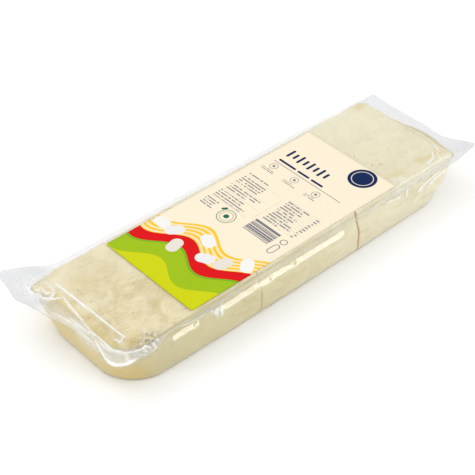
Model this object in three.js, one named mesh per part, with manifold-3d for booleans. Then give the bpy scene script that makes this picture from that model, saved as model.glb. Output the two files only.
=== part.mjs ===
// A clear vacuum pack of tofu: three blocks lie end to end in a soft formed film tray, a lid film is
// sealed to it all round in a thin wavy rim, and a paper label is stuck on top.
// Millimetres, +Z up, +X along the pack. The origin is the middle of the flat base.
import * as THREE from "three";
import { mergeVertices } from "three/addons/utils/BufferGeometryUtils.js";
import Module from "manifold-3d";

// Driving dimensions of the filled tray.
const TRAY_LENGTH = 318.5;
const TRAY_WIDTH = 101;
const PACK_HEIGHT = 35;
const BASE_EDGE_HEIGHT = 5; // rounding where the wall turns into the base
const BASE_EDGE_INSET = 2;
const WALL_BULGE = 0.8; // how far the soft wall stands out half way up

// The upright corners are round at the base and get squarer on the way up. The four values are those
// of the near left, near right, far right and far left corner.
const BASE_CORNER_RADIUS = 30;
const RIM_CORNER_RADII = [20, 6, 6, 10];
const TOP_CORNER_RADII = [11, 5, 4, 8];
const CORNER_SQUARING = [1, 1, 1, 0.55]; // the share of the wall's height that this takes

// Just under the rim the wall draws in over the tofu's rounded top edge. At the right end it leans
// out instead.
const NECK_INSET = { left: 1.5, right: -1, near: 3.4, far: 1.6 };
const NECK_START = 0.72; // share of the wall's height where it starts to draw in
const NECK_END = 0.95;

const RIGHT_LEAN = 2; // how far in the right wall has its foot

// The near wall's foot stands out in the middle and in at the ends, as a flat arch.
const NEAR_BOW = { x: -30, outward: 0.8, inward: 1.6, reach: 150 };

// Folds and a pocket of whey draw the wall out under the lid film: the place, the move and the reach.
const PULLS = [
  { x: 160, y: -16, dx: 5.5, dy: 0, reach: 24 },
  { x: 160, y: -49, dx: 1.6, dy: -1.4, reach: 8 },
  { x: -158, y: 46, dx: -9, dy: 0.8, reach: 9 },
];

// The flat top of the tofu starts this far in from the tray's outline, and its far edge runs askew.
const TOP_INSET = { left: 10.5, right: 3.6, near: 5, far: 2.6 };
const TOP_SKEW = 2.2; // how much further in the far edge is at its right end
const TOP_SKEW_START = 40; // the places beyond this y take part in full

// Three blocks meet in two seams, which dent the film.
const MIDDLE_BLOCK = { x: 6.1, length: 95.6 };
const SEAM_DEPTH = 0.8;
const SEAM_HALF_WIDTH = 1.2;

// The sealed rim leaves the wall just under the top. Each corner is an ear: its place, its rounding,
// and how high its tip stands over the rim's own level.
const RIM_HEIGHT = 32;
const RIM_THICKNESS = 0.8;
const RIM_ROOT_INSET = 6; // how far inside the wall the rim's slab starts
const RIM_NEAR_SIDE = { left: -53.5, right: -53.5 }; // the narrow strips along the long sides,
const RIM_FAR_SIDE = { left: 55, right: 51.5 }; // which are trimmed a little askew
const RIM_FLARE_LENGTH = 34; // over this length the narrow side strip widens into the ears
const RIM_END_WAIST = 3.5; // how far the end strips are drawn in between their ears
const EARS = {
  nearLeft: { x: -171, y: -54.5, radius: 12, lift: 1, reach: 15 },
  nearRight: { x: 174, y: -55, radius: 3, lift: 6, reach: 15 },
  farRight: { x: 176, y: 53, radius: 3, lift: -3.5, reach: 30 },
  farLeft: { x: -180, y: 60.5, radius: 3, lift: 13, reach: 18 },
};
const WAVES = [
  { x: -171, y: -29, lift: 12, reach: 14 }, // a wave in the left end strip
  { x: -181, y: 44, lift: -6, reach: 9 }, // a dip beside the raised far left ear
  { x: -155, y: 58, lift: 6, reach: 14 }, // the ear's back edge stays up as it runs to the side
  { x: -61, y: -53.5, lift: 3, reach: 70 }, // the near side strip stands up a little
  { x: 69, y: -53.5, lift: 3, reach: 70 },
];

// The label is stuck on the flat top, a little off centre.
const LABEL = { left: -99.7, right: 96.3, near: -45.6, far: 45, thickness: 0.3, gap: 0.3 };

// How finely the outlines are divided.
const CORNER_STEPS = 8;
const END_STEPS = 12;
const SIDE_STEPS = 28;
const BASE_EDGE_STEPS = 3;
const WALL_STEPS = 4;
const NECK_STEPS = 5;
const SHOULDER_STEPS = 3;
const RIM_STEPS = 3;

const wasm = await Module();
wasm.setup();

const seams = [-1, 1].map((side) => MIDDLE_BLOCK.x + (side * MIDDLE_BLOCK.length) / 2);

// The places along a long side where a tray ring has points: even steps, and three at each seam.
// They end clear of the round corners of the smallest ring, which is the base.
const SIDE_MARGIN = 1;
const cornerRoom = BASE_CORNER_RADIUS + BASE_EDGE_INSET + RIGHT_LEAN + SIDE_MARGIN;
const straightEnd = TRAY_LENGTH / 2 - cornerRoom;
const sideStations = [];
for (let i = 0; i <= SIDE_STEPS; i++) {
  const x = -straightEnd + (2 * straightEnd * i) / SIDE_STEPS;
  const besideSeam = seams.some((s) => Math.abs(x - s) < 2 * SEAM_HALF_WIDTH);
  if (!besideSeam) sideStations.push(x);
}
for (const s of seams) sideStations.push(s - SEAM_HALF_WIDTH, s, s + SEAM_HALF_WIDTH);
sideStations.sort((a, b) => a - b);

// How deep the seams dent the wall at x.
function seamDent(x) {
  let dent = 0;
  for (const s of seams) {
    dent = Math.max(dent, SEAM_DEPTH * (1 - Math.abs(x - s) / SEAM_HALF_WIDTH));
  }
  return dent;
}

// A rounded rectangle from (left, near) to (right, far), anticlockwise from the near left corner,
// with its own radius at each corner.
function roundedOutline({ left, right, near, far }, radii) {
  const points = [];
  const corner = (cx, cy, radius, start) => {
    const arc = new THREE.EllipseCurve(cx, cy, radius, radius, start, start + Math.PI / 2);
    points.push(...arc.getPoints(CORNER_STEPS));
  };
  const end = (x, from, to) => {
    for (let i = 1; i < END_STEPS; i++) {
      points.push(new THREE.Vector2(x, from + ((to - from) * i) / END_STEPS));
    }
  };
  const [nearLeft, nearRight, farRight, farLeft] = radii;
  corner(left + nearLeft, near + nearLeft, nearLeft, Math.PI);
  for (const x of sideStations) points.push(new THREE.Vector2(x, near + seamDent(x)));
  corner(right - nearRight, near + nearRight, nearRight, -Math.PI / 2);
  end(right, near + nearRight, far - farRight);
  corner(right - farRight, far - farRight, farRight, 0);
  for (const x of [...sideStations].reverse()) points.push(new THREE.Vector2(x, far - seamDent(x)));
  corner(left + farLeft, far - farLeft, farLeft, Math.PI / 2);
  end(left, far - farLeft, near + nearLeft);
  return points;
}

// One ring of the tray: its outline stands in from the nominal one by the given insets.
function trayRing(z, inset, radii) {
  const limits = {
    left: inset.left - TRAY_LENGTH / 2,
    right: TRAY_LENGTH / 2 - inset.right,
    near: inset.near - TRAY_WIDTH / 2,
    far: TRAY_WIDTH / 2 - inset.far,
  };
  return roundedOutline(limits, radii).map((p) => new THREE.Vector3(p.x, p.y, z));
}

// 1 at the middle of a round hump, falling off with distance over its reach.
function bell(p, hump) {
  return Math.exp(-((p.x - hump.x) ** 2 + (p.y - hump.y) ** 2) / hump.reach ** 2);
}

// Moves a point of the wall by the bow of the near side, which is most at the foot, and by the
// pulls, which are most at the rim.
function settle(p, t) {
  const towardsNear = THREE.MathUtils.clamp(-p.y / (TRAY_WIDTH / 2), 0, 1);
  const bow = NEAR_BOW.inward * ((p.x - NEAR_BOW.x) / NEAR_BOW.reach) ** 2 - NEAR_BOW.outward;
  const settled = p.clone();
  settled.y += bow * (1 - t) * towardsNear;
  for (const pull of PULLS) {
    const share = bell(p, pull) * t ** 5;
    settled.x += pull.dx * share;
    settled.y += pull.dy * share;
  }
  return settled;
}

// The wall at a share t of its height: it bulges softly, then draws in to the neck under the rim.
// Below the wall, extra is how far the rounded base edge has it stand in.
function wallRing(t, z = THREE.MathUtils.lerp(BASE_EDGE_HEIGHT, RIM_HEIGHT, t), extra = 0) {
  const even = extra - WALL_BULGE * Math.sin(Math.PI * t);
  const neck = smoothStep((t - NECK_START) / (NECK_END - NECK_START));
  const inset = {
    left: even + NECK_INSET.left * neck,
    right: even + NECK_INSET.right * neck + RIGHT_LEAN * (1 - t),
    near: even + NECK_INSET.near * neck,
    far: even + NECK_INSET.far * neck,
  };
  const radii = RIM_CORNER_RADII.map((radius, i) => {
    return THREE.MathUtils.lerp(BASE_CORNER_RADIUS, radius, Math.min(t / CORNER_SQUARING[i], 1));
  });
  return trayRing(z, inset, radii).map((p) => settle(p, t));
}

// The edge of the flat top.
function topRing() {
  return trayRing(PACK_HEIGHT, TOP_INSET, TOP_CORNER_RADII).map((p) => {
    const along = p.x / TRAY_LENGTH + 0.5;
    const skew = TOP_SKEW * along * THREE.MathUtils.clamp(p.y / TOP_SKEW_START, 0, 1);
    return new THREE.Vector3(p.x, p.y - skew, p.z);
  });
}

// The rings of the filled tray from the base up: a rounded base edge, the wall with its neck, and a
// shoulder that runs in to the flat top.
function trayRings() {
  const rings = [];
  for (let i = 0; i <= BASE_EDGE_STEPS; i++) {
    const angle = (Math.PI / 2) * (i / BASE_EDGE_STEPS);
    const inset = BASE_EDGE_INSET * (1 - Math.sin(angle));
    rings.push(wallRing(0, BASE_EDGE_HEIGHT * (1 - Math.cos(angle)), inset));
  }
  for (let i = 1; i <= WALL_STEPS; i++) rings.push(wallRing((NECK_START * i) / WALL_STEPS));
  for (let i = 1; i <= NECK_STEPS; i++) {
    rings.push(wallRing(THREE.MathUtils.lerp(NECK_START, 1, i / NECK_STEPS)));
  }
  const neck = rings.at(-1);
  const top = topRing();
  for (let i = 1; i <= SHOULDER_STEPS; i++) {
    const t = i / SHOULDER_STEPS;
    const z = THREE.MathUtils.lerp(RIM_HEIGHT, PACK_HEIGHT, Math.sin((Math.PI / 2) * t));
    rings.push(neck.map((p, k) => p.clone().lerp(top[k], t).setZ(z)));
  }
  return rings;
}

// Joins rings of equal length into a surface. A closed stack also joins its last ring to its first;
// an open one gets flat caps, each a fan of triangles round the ring's middle.
function loft(rings, closed) {
  const count = rings[0].length;
  const positions = rings.flat().flatMap((p) => [p.x, p.y, p.z]);
  const faces = [];
  const bands = closed ? rings.length : rings.length - 1;
  for (let k = 0; k < bands; k++) {
    const low = k * count;
    const high = ((k + 1) % rings.length) * count;
    for (let i = 0; i < count; i++) {
      const j = (i + 1) % count;
      faces.push(low + i, low + j, high + j, low + i, high + j, high + i);
    }
  }
  if (!closed) {
    const top = (rings.length - 1) * count;
    const bottomMiddle = rings.length * count;
    const topMiddle = bottomMiddle + 1;
    positions.push(0, 0, rings[0][0].z, 0, 0, rings.at(-1)[0].z);
    for (let i = 0; i < count; i++) {
      const j = (i + 1) % count;
      faces.push(j, i, bottomMiddle, top + i, top + j, topMiddle);
    }
  }
  const geometry = new THREE.BufferGeometry();
  geometry.setAttribute("position", new THREE.Float32BufferAttribute(positions, 3));
  geometry.setIndex(faces);
  return mergeVertices(geometry);
}

function smoothStep(t) {
  const s = THREE.MathUtils.clamp(t, 0, 1);
  return s * s * (3 - 2 * s);
}

// The rim's outer outline, anticlockwise from the near left ear: round ear tips, end strips drawn in
// between the ears, and long sides that narrow to a thin strip.
function rimOutline() {
  const points = [];
  const { nearLeft, nearRight, farRight, farLeft } = EARS;
  const ear = ({ x, y, radius }, start) => {
    const cx = x - Math.sign(x) * radius;
    const cy = y - Math.sign(y) * radius;
    const arc = new THREE.EllipseCurve(cx, cy, radius, radius, start, start + Math.PI / 2);
    points.push(...arc.getPoints(CORNER_STEPS));
  };
  const side = (from, to, strip) => {
    const start = from.x - Math.sign(from.x) * from.radius;
    const stop = to.x - Math.sign(to.x) * to.radius;
    for (let i = 1; i < SIDE_STEPS; i++) {
      const t = i / SIDE_STEPS;
      const x = start + (stop - start) * t;
      const fromFlare = 1 - smoothStep(Math.abs(x - start) / RIM_FLARE_LENGTH);
      const toFlare = 1 - smoothStep(Math.abs(stop - x) / RIM_FLARE_LENGTH);
      const middle = THREE.MathUtils.mapLinear(x, nearLeft.x, nearRight.x, strip.left, strip.right);
      const y = middle + (from.y - middle) * fromFlare + (to.y - middle) * toFlare;
      points.push(new THREE.Vector2(x, y));
    }
  };
  const end = (from, to) => {
    const start = from.y - Math.sign(from.y) * from.radius;
    const stop = to.y - Math.sign(to.y) * to.radius;
    for (let i = 1; i < END_STEPS; i++) {
      const t = i / END_STEPS;
      const straight = from.x + (to.x - from.x) * t;
      const waist = RIM_END_WAIST * Math.sin(Math.PI * t);
      const x = straight - Math.sign(straight) * waist;
      points.push(new THREE.Vector2(x, start + (stop - start) * t));
    }
  };
  ear(nearLeft, Math.PI);
  side(nearLeft, nearRight, RIM_NEAR_SIDE);
  ear(nearRight, -Math.PI / 2);
  end(nearRight, farRight);
  ear(farRight, 0);
  side(farRight, farLeft, RIM_FAR_SIDE);
  ear(farLeft, Math.PI / 2);
  end(farLeft, nearLeft);
  return points;
}

// How far the rim's outer edge stands over its own level at a place: each ear and wave adds a
// round hump.
function rimLift(p) {
  let lift = 0;
  for (const hump of [...Object.values(EARS), ...WAVES]) lift += hump.lift * bell(p, hump);
  return lift;
}

// The rim's slab: a flat ring inside the pack, and outside it a strip that curves up or down towards
// its wavy edge. Its underside rings run outwards, its upper ones back inwards.
function rimRings() {
  const outer = rimOutline();
  const coreX = TRAY_LENGTH / 2 - BASE_CORNER_RADIUS;
  const coreY = TRAY_WIDTH / 2 - BASE_CORNER_RADIUS;
  const inner = outer.map((p) => {
    const x = THREE.MathUtils.clamp(p.x, -coreX, coreX);
    const y = THREE.MathUtils.clamp(p.y, -coreY, coreY);
    const centre = new THREE.Vector2(x, y);
    return p.clone().sub(centre).setLength(BASE_CORNER_RADIUS - RIM_ROOT_INSET).add(centre);
  });
  const ring = (t, drop) =>
    outer.map((p, i) => {
      const plan = inner[i].clone().lerp(p, t);
      const z = RIM_HEIGHT + rimLift(p) * t * t - drop;
      return new THREE.Vector3(plan.x, plan.y, z);
    });
  const rings = [];
  for (let i = 0; i <= RIM_STEPS; i++) rings.push(ring(i / RIM_STEPS, RIM_THICKNESS));
  for (let i = RIM_STEPS; i >= 0; i--) rings.push(ring(i / RIM_STEPS, 0));
  return rings;
}

function toManifold(geometry) {
  const mesh = new wasm.Mesh({
    numProp: 3,
    vertProperties: new Float32Array(geometry.getAttribute("position").array),
    triVerts: new Uint32Array(geometry.index.array),
  });
  return new wasm.Manifold(mesh);
}

function toGeometry(solid) {
  const mesh = solid.getMesh();
  const geometry = new THREE.BufferGeometry();
  geometry.setAttribute("position", new THREE.Float32BufferAttribute(mesh.vertProperties, 3));
  geometry.setIndex(new THREE.Uint32BufferAttribute(mesh.triVerts, 1));
  geometry.computeVertexNormals();
  return geometry;
}

// The filled tray with its rim, as one solid.
function filmPack() {
  const tray = toManifold(loft(trayRings(), false));
  const rim = toManifold(loft(rimRings(), true));
  const material = new THREE.MeshStandardMaterial({ color: 0xe8e2c8, roughness: 0.25, metalness: 0 });
  const mesh = new THREE.Mesh(toGeometry(tray.add(rim)), material);
  mesh.name = "film_pack";
  return mesh;
}

// The label: a thin rectangle of coated paper.
function label() {
  const shape = new THREE.Shape();
  shape.moveTo(LABEL.left, LABEL.near);
  shape.lineTo(LABEL.right, LABEL.near);
  shape.lineTo(LABEL.right, LABEL.far);
  shape.lineTo(LABEL.left, LABEL.far);
  const geometry = new THREE.ExtrudeGeometry(shape, { depth: LABEL.thickness, bevelEnabled: false });
  const material = new THREE.MeshStandardMaterial({ color: 0xfff3de, roughness: 0.5, metalness: 0 });
  const mesh = new THREE.Mesh(geometry, material);
  mesh.name = "label";
  mesh.position.z = PACK_HEIGHT + LABEL.gap;
  return mesh;
}

const tofuPack = new THREE.Group();
tofuPack.add(filmPack(), label());

export default tofuPack;
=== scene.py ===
import math

import bpy
import numpy as np
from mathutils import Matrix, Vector


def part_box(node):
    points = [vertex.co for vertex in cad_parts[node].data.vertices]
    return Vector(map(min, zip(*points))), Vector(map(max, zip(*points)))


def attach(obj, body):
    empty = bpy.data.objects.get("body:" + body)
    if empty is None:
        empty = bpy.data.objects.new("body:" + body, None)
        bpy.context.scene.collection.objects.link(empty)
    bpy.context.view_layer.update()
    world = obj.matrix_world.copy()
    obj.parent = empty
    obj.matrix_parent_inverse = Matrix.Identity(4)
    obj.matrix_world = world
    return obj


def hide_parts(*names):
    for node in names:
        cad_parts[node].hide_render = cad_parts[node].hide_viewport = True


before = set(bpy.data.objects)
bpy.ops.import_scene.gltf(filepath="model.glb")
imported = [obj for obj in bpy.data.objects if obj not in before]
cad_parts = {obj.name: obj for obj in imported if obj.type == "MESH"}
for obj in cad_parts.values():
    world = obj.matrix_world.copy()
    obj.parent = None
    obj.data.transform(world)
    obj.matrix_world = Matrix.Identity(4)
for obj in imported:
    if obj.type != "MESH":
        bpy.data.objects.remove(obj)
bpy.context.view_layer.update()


# Camera. It looks down on the pack from beyond its near left corner, through a long lens.
VIEW_AZIMUTH = math.radians(-42.26)
VIEW_ELEVATION = math.radians(40.46)
VIEW_DISTANCE = 1.01356
VIEW_TARGET = Vector((-0.01349, 0.00479, 0.0170))
VIEW_LENS = 107.31

view_back = Vector((
    math.sin(VIEW_AZIMUTH) * math.cos(VIEW_ELEVATION),
    -math.cos(VIEW_AZIMUTH) * math.cos(VIEW_ELEVATION),
    math.sin(VIEW_ELEVATION),
))
camera_data = bpy.data.cameras.new("camera")
camera_data.lens = VIEW_LENS
camera_data.sensor_width = 36
camera_data.clip_start = 0.05
camera = bpy.data.objects.new("camera", camera_data)
camera.location = VIEW_TARGET + view_back * VIEW_DISTANCE
camera.rotation_euler = (-view_back).to_track_quat("-Z", "Y").to_euler()
bpy.context.scene.collection.objects.link(camera)
bpy.context.scene.camera = camera
bpy.context.scene.view_settings.view_transform = "Standard"


# Studio. A white surround, dimmer where it is mirrored, with a soft box overhead at the back, one at
# the left and a long one at the right front. The film shows mostly by what it mirrors, so a brighter
# box that only shows in mirrors stands where the neck of its near wall throws it back.
def soft_box(name, direction, distance, size, radiance, mirrored=False):
    """A rectangular area light of the given sides in metres, that far from the pack's middle. It
    lights matt surfaces, or else it only shows in glossy ones."""
    light = bpy.data.lights.new(name, "AREA")
    light.shape = "RECTANGLE"
    light.size, light.size_y = size
    light.energy = radiance * 4 * size[0] * size[1]
    holder = bpy.data.objects.new(name, light)
    outward = Vector(direction).normalized()
    holder.location = outward * distance
    holder.rotation_euler = (-outward).to_track_quat("-Z", "Y").to_euler()
    holder.visible_diffuse = not mirrored
    holder.visible_glossy = mirrored
    bpy.context.scene.collection.objects.link(holder)


soft_box("key_box", (-0.15, 0.55, 0.85), 1.3, (0.7, 0.7), 1.4)
soft_box("left_box", (-0.95, 0.1, 0.35), 1.2, (0.5, 0.4), 3.1)
soft_box("fill_box", (0.5, -0.76, 0.48), 1.4, (1.1, 0.5), 1.9)
soft_box("strip_box", (0.53, -0.74, 0.42), 1.1, (0.9, 0.3), 3.0, mirrored=True)


def add_node(tree, kind, inputs=None, **settings):
    """Adds a shader node. An input given as a socket is linked, any other is set as its value."""
    made = tree.nodes.new(kind)
    for name, value in settings.items():
        setattr(made, name, value)
    for key, value in (inputs or {}).items():
        if isinstance(value, bpy.types.NodeSocket):
            tree.links.new(value, made.inputs[key])
        else:
            made.inputs[key].default_value = value
    return made


def maths(tree, operation, *values, clamp=False):
    """The output of one Math node."""
    made = add_node(tree, "ShaderNodeMath", dict(enumerate(values)), operation=operation)
    made.use_clamp = clamp
    return made.outputs[0]


world = bpy.data.worlds.new("surround")
world.use_nodes = True
in_mirror = add_node(world.node_tree, "ShaderNodeLightPath").outputs["Is Glossy Ray"]
brightness = maths(world.node_tree, "MULTIPLY_ADD", in_mirror, -0.36, 0.93)
surround = world.node_tree.nodes["Background"]
surround.inputs["Color"].default_value = (1, 1, 1, 1)
world.node_tree.links.new(brightness, surround.inputs["Strength"])
bpy.context.scene.world = world


# The table: matt white laminate, which fades into the surround.
TABLE_SIZE = 8.0
TABLE_DROP = 0.0002  # it lies this far under the pack, so that the two surfaces don't coincide


def new_material(name):
    """A material with an empty node tree."""
    material = bpy.data.materials.new(name)
    material.use_nodes = True
    material.node_tree.nodes.clear()
    return material, material.node_tree


def finish_material(material, inputs):
    """Gives a material its one shader, with these inputs, and returns it."""
    shader = add_node(material.node_tree, "ShaderNodeBsdfPrincipled", inputs)
    add_node(material.node_tree, "ShaderNodeOutputMaterial", {0: shader.outputs[0]})
    return material


def blend_colour(tree, factor, first, second):
    """Mixes two colours by a factor; each may be a socket or a plain colour."""
    made = add_node(tree, "ShaderNodeMix", {0: factor, 6: first, 7: second}, data_type="RGBA")
    return made.outputs[2]


def noise(tree, coordinates, scale, detail=2.0, roughness=0.5, swirl=0.0):
    """The value of a Noise node, near 0.5 on average."""
    inputs = {"Vector": coordinates, "Scale": scale, "Detail": detail, "Roughness": roughness}
    inputs["Distortion"] = swirl
    return add_node(tree, "ShaderNodeTexNoise", inputs).outputs[0]


def table_top():
    """A flat square, four corners and one face."""
    half = TABLE_SIZE / 2
    corners = [(-half, -half), (half, -half), (half, half), (-half, half)]
    mesh = bpy.data.meshes.new("table_top")
    mesh.from_pydata([(x, y, -TABLE_DROP) for x, y in corners], [], [(0, 1, 2, 3)])
    table = bpy.data.objects.new("table_top", mesh)
    bpy.context.scene.collection.objects.link(table)
    material, tree = new_material("table_laminate")
    grain = noise(tree, add_node(tree, "ShaderNodeTexCoord").outputs["Object"], 60.0)
    tone = blend_colour(tree, grain, (0.93, 0.93, 0.93, 1), (0.95, 0.95, 0.95, 1))
    inputs = {"Base Color": tone, "Roughness": 0.9, "Specular IOR Level": 0.1}
    mesh.materials.append(finish_material(material, inputs))


table_top()


# The tray's form, which the tofu fills and the film follows. Soft film was drawn into a mould with
# round upright corners, then sucked tight round the blocks, so the wall bulges a little, draws in
# under the rim and has a shallow dent at each seam between blocks.
MM = 0.001  # lengths are in millimetres from here on, and meshes are written in metres
TRAY_LENGTH = 318.5
TRAY_WIDTH = 101.0
PACK_HEIGHT = 35.0
BASE_EDGE_HEIGHT = 5.0
BASE_EDGE_INSET = 2.0
RIM_HEIGHT = 32.0
WALL_BULGE = 0.8
BASE_RADIUS = 30.0
BASE_RADII = (BASE_RADIUS,) * 4  # of the corners: near left, near right, far right, far left
RIM_RADII = (20.0, 6.0, 6.0, 10.0)
TOP_RADII = (11.0, 5.0, 4.0, 8.0)
CORNER_SQUARING = (1.0, 1.0, 1.0, 0.55)  # the share of the wall's height in which they get squarer
TOP_INSET = (10.5, 3.6, 5.0, 2.0)  # at the left end, the right end, the near side and the far one
NECK_INSET = (1.5, -1.0, 3.4, 1.6)  # how far the wall has drawn in at the rim
TOP_SKEW = 2.2  # the far edge of the top runs in by this much from left to right
RIGHT_LEAN = 2.0  # the right wall leans out from its foot
NEAR_BOW = (-0.8, 1.6)  # the near wall's foot stands out in the middle and in at the right
SHARP_STRETCHES = [  # where the near wall draws in sharply: from, to, the blur and the share
    (-80.0, 46.0, 22.0, 1.0),
    (-121.0, -95.0, 5.0, 0.85),
]
SHARP_START = 0.705  # of the wall's height, where it starts to, give or take its ripples
SHARP_RISE = 0.14
PULLS = [  # folds and a pocket of whey draw the wall out under the lid: place, move and reach
    ((160.0, -16.0), (5.5, 0.0), 24.0),
    ((160.0, -49.0), (1.6, -1.4), 8.0),
    ((-158.0, 46.0), (-9.0, 0.8), 9.0),
]
KNOCKED_CORNER = (-136.0, -47.0)  # of the first block
TOP_HOLLOW = 0.35
LEDGE_WIDTH = 1.35  # of the steep little ledge in which the flat top ends
LEDGE_RISE = 1.0
LEDGE_SWELL = 0.55  # the share by which it is larger in the middle of the left end
MIDDLE_BLOCK_X = 6.1
MIDDLE_BLOCK_LENGTH = 95.6
SEAM_DEPTHS = (0.35, 0.8)  # of the dents in the film
SEAM_HALF_WIDTH = 1.4
CUT_RADII = (0.2, 0.5)  # the rounding of the tofu's cut edges at the left seam and the right one
seams = [MIDDLE_BLOCK_X - MIDDLE_BLOCK_LENGTH / 2, MIDDLE_BLOCK_X + MIDDLE_BLOCK_LENGTH / 2]


def smooth_step(t):
    """3t² - 2t³, held at 0 and 1 outside its range."""
    s = np.clip(t, 0, 1)
    return s * s * (3 - 2 * s)


def straight_ramp(t, soft=0.15):
    """From 0 to 1 at a steady slope, which is eased in and out over the share soft at each end."""
    s = np.clip(t, 0, 1)
    eased_in = np.minimum(s, soft) ** 2 / (2 * soft)
    steady = np.clip(s - soft, 0, 1 - 2 * soft)
    eased_out = soft / 2 - (1 - np.maximum(s, 1 - soft)) ** 2 / (2 * soft)
    return (eased_in + steady + eased_out) / (1 - soft)


def between(value, low, high, blur):
    """1 between low and high and 0 outside, blurred over the given width."""
    return smooth_step((value - low) / blur + 0.5) * smooth_step((high - value) / blur + 0.5)


def ripples(points, wavelength, seed, count=28):
    """Gentle unevenness of height about ±1: the sum of plane waves that run in random directions,
    with lengths spread round the one given."""
    draw = np.random.default_rng(seed)
    heading = draw.normal(size=(count, 3))
    heading /= np.linalg.norm(heading, axis=1)[:, None]
    length = wavelength * draw.uniform(0.7, 1.5, count)
    phase = draw.uniform(0, 2 * math.pi, count)
    angle = points @ (heading * (2 * math.pi / length)[:, None]).T + phase
    return np.sin(angle).sum(axis=1) * math.sqrt(2 / count) / 1.6


def hump(x, y, centre, reach):
    """A round hump of height 1 that fades with distance, over the given reach."""
    return np.exp(-((x - centre[0]) ** 2 + (y - centre[1]) ** 2) / reach**2)


def ring_towards(points, limits, radii):
    """Moves each point of a plan onto a rounded rectangle: it is held to the rectangle's core, and
    set one corner radius away from there, towards where it was. limits is (left, right, near, far)."""
    left, right, near, far = limits
    at_right = points[:, 0] > (left + right) / 2
    at_far = points[:, 1] > 0
    corner = np.where(at_far, np.where(at_right, 2, 3), np.where(at_right, 1, 0))
    radius = np.array(radii)[corner]
    core_x = np.clip(points[:, 0], left + radius, right - radius)
    core_y = np.clip(points[:, 1], near + radius, far - radius)
    core = np.stack([core_x, core_y], 1)
    away = points - core
    return core + away * (radius / np.linalg.norm(away, axis=1))[:, None]


def tray_ring(points, inset, radii, cuts=(None, None)):
    """The tray's outline in plan, with the insets of its left end, right end, near side and far
    side. A cut at the left or the right, by its x and its rounding, takes the place of that end."""
    left, right, near, far = inset
    half_length, half_width = TRAY_LENGTH / 2, TRAY_WIDTH / 2
    limits = [left - half_length, half_length - right, near - half_width, half_width - far]
    radii = list(radii)
    for which, corners in ((0, (0, 3)), (1, (1, 2))):
        if cuts[which] is not None:
            limits[which], rounding = cuts[which]
            for corner in corners:
                radii[corner] = rounding
    return ring_towards(points, limits, radii)


def neck_share(t, x, y):
    """How much of its neck the wall has at the share t of its height. It mostly leans in slowly,
    but on two stretches of the near side it draws in sharply, and that facet catches the light."""
    stretches = [share * between(x, low, high, blur) for low, high, blur, share in SHARP_STRETCHES]
    sharp = np.max(stretches, axis=0) * smooth_step(-y / 20)
    spots = np.stack([x, 0 * x, 0 * x], 1)
    start = SHARP_START + 0.012 * ripples(spots, 12.0, 6) + 0.003 * ripples(spots, 5.0, 16)
    height = SHARP_RISE * (1 + 0.12 * ripples(spots, 8.0, 7))
    quick = 0.8 * straight_ramp((t - start) / height, 0.07) + 0.2 * smooth_step((t - 0.87) / 0.13)
    slow = smooth_step((t - 0.45) / 0.55)
    return slow + (quick - slow) * sharp


def wall_plan(points, t, gap=0.0, cuts=(None, None)):
    """The wall in plan at the share t of its height: it bulges by half a sine wave, its corners get
    squarer from base to rim, and it shrinks towards the middle by its neck."""
    radii = [a + (b - a) * min(t / s, 1) for a, b, s in zip(BASE_RADII, RIM_RADII, CORNER_SQUARING)]
    inset = gap - WALL_BULGE * math.sin(math.pi * t)
    plan = tray_ring(points, [inset, inset + RIGHT_LEAN * (1 - t), inset, inset], radii, cuts)
    x, y = plan.T
    neck = neck_share(t, x, y)
    left, right, near, far = NECK_INSET
    shift = left * smooth_step((-120 - x) / 30) - right * smooth_step((x - 120) / 30)
    across = np.clip(y / (TRAY_WIDTH / 2), -1, 1)
    bow = NEAR_BOW[0] + NEAR_BOW[1] * ((x + 30) / 150) ** 2
    move = np.where(across < 0, (near * neck + bow * (1 - t)) * -across, -far * neck * across)
    pull = sum(hump(x, y, place, reach)[:, None] * way for place, way, reach in PULLS) * t**5
    return np.stack([x + shift * neck, y + move], 1) + pull


def top_plan(points, gap=0.0, cuts=(None, None)):
    """The edge of the flat top in plan: skewed at the far side, a little ragged at the left end."""
    plan = tray_ring(points, [inset + gap for inset in TOP_INSET], TOP_RADII, cuts)
    along = plan[:, 0] / TRAY_LENGTH + 0.5
    plan[:, 1] -= TOP_SKEW * along * np.clip(plan[:, 1] / 40, 0, 1)
    spots = np.column_stack([0 * plan, plan[:, 1]])
    ragged = 0.35 * ripples(spots, 14.0, 8) + 0.15 * ripples(spots, 4.0, 9)
    plan[:, 0] += ragged * between(plan[:, 0], -165, -140, 6)
    return plan


def shoulder_rings(root, edge, root_height, height, slope_steps, ledge_steps):
    """The rings that run in from the root of the rim to the edge of the flat top: a gentle slope,
    a quarter of a sine wave, and then the steep ledge."""
    distance = np.linalg.norm(edge - root, axis=1)
    large = 1 + LEDGE_SWELL * between(edge[:, 0], -200, -140, 10) * between(edge[:, 1], -24, 18, 26)
    ledge = np.minimum(LEDGE_WIDTH * large / distance, 0.5)
    rise = LEDGE_RISE * large
    foot = height - rise
    for u in np.linspace(0, 1, slope_steps + 1):
        share = ((1 - ledge) * u)[:, None]
        yield root + (edge - root) * share, root_height + (foot - root_height) * math.sin(math.pi / 2 * u)
    for v in np.linspace(0, 1, ledge_steps + 1)[1:]:
        share = (1 - ledge + ledge * v)[:, None]
        yield root + (edge - root) * share, foot + rise * straight_ramp(v)


def seam_dent(x):
    """The dent's depth at x: a round groove at each seam."""
    dents = [depth * np.exp(-(((x - s) / SEAM_HALF_WIDTH) ** 2)) for s, depth in zip(seams, SEAM_DEPTHS)]
    return np.sum(dents, axis=0)


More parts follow.
